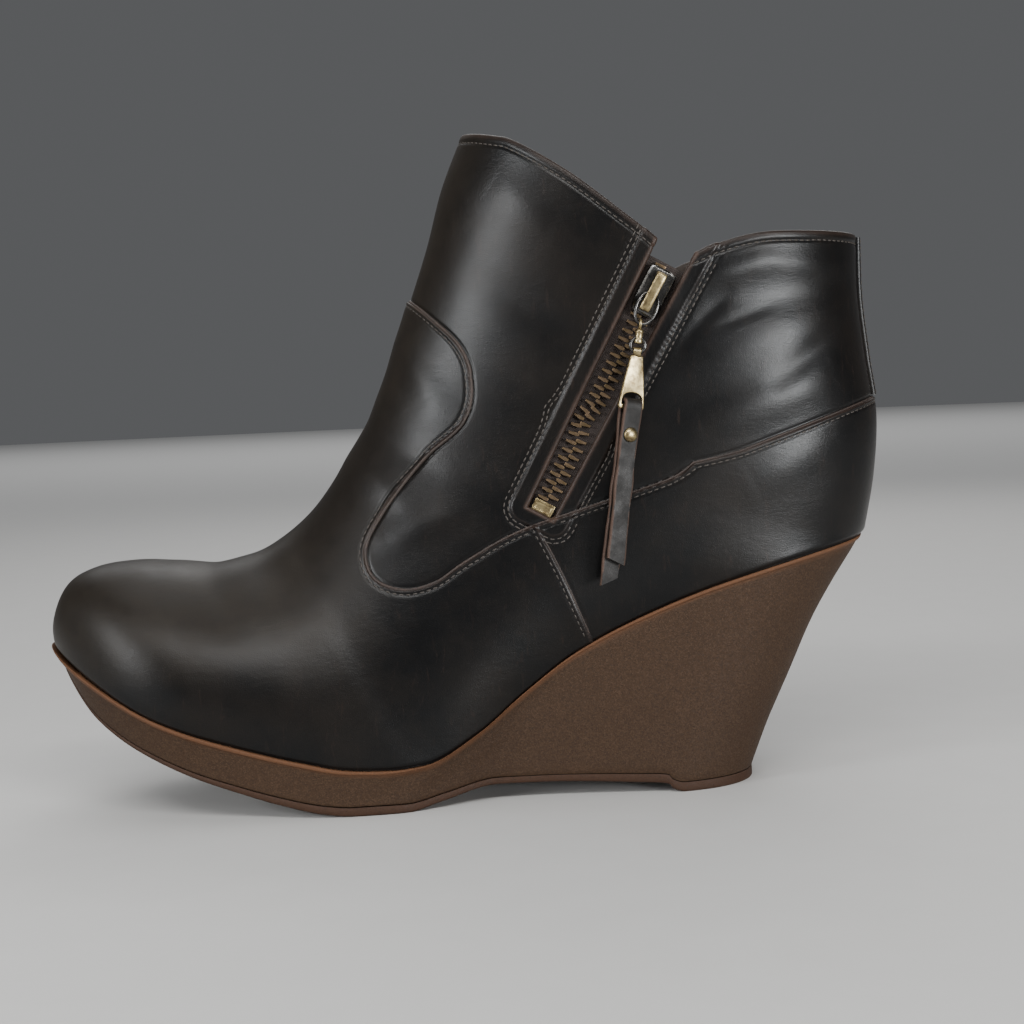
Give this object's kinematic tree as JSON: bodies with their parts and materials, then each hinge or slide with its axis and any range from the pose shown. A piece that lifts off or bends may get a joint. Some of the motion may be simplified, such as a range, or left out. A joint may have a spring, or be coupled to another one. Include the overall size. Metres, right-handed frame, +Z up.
{
  "type": "wedge ankle boot",
  "caption": "Right ankle boot on a high foam wedge, with a hollow leather upper, side zip and a hanging metal and leather zip pull.",
  "frame": {"origin": "bottom centre of the boot's box, on the floor", "axes": "+Z up, +X toward the heel, the toe toward -X and the zip side toward -Y"},
  "size_m": [0.2496, 0.0887, 0.1928],
  "materials": {
    "outsole_rubber": "matt, fine texture",
    "wedge_foam": "matt speckled foam",
    "insole_lining": "matt lining leather",
    "black_leather": "waxed smooth leather with a soft sheen and worn edges",
    "tape_cloth": "woven tape",
    "bronze_teeth": "antique bronze",
    "antique_brass": "antique brass, brushed",
    "dark_metal": "dark plated metal",
    "strap_leather": "cut leather with raw edges"
  },
  "bodies": {
    "boot": {"outsole": "outsole_rubber", "wedge_midsole": "wedge_foam", "insole": "insole_lining", "upper": "black_leather", "backstay": "black_leather", "zip_tape": "tape_cloth", "zip_teeth": "bronze_teeth", "zip_bottom_stop": "antique_brass", "zip_slider": "dark_metal"},
    "link": {"pull_link": "dark_metal"},
    "pull": {"pull_swivel": "antique_brass", "pull_ring": "dark_metal", "pull_tag": "antique_brass", "pull_strap": "strap_leather", "pull_rivet": "antique_brass"}
  },
  "joints": [
    {"name": "link_on_bridge", "type": "hinge", "parent": "boot", "child": "link", "pos_m": [0.05683, -0.03774, 0.14277], "axis": [-0.9136, 0, 0.4067], "range_deg": [0, 165]},
    {"name": "tag_on_link", "type": "hinge", "parent": "link", "child": "pull", "pos_m": [0.05323, -0.03851, 0.13467], "axis": [-0.9877, 0, 0.1564], "range_deg": [0, 45]}
  ]
}
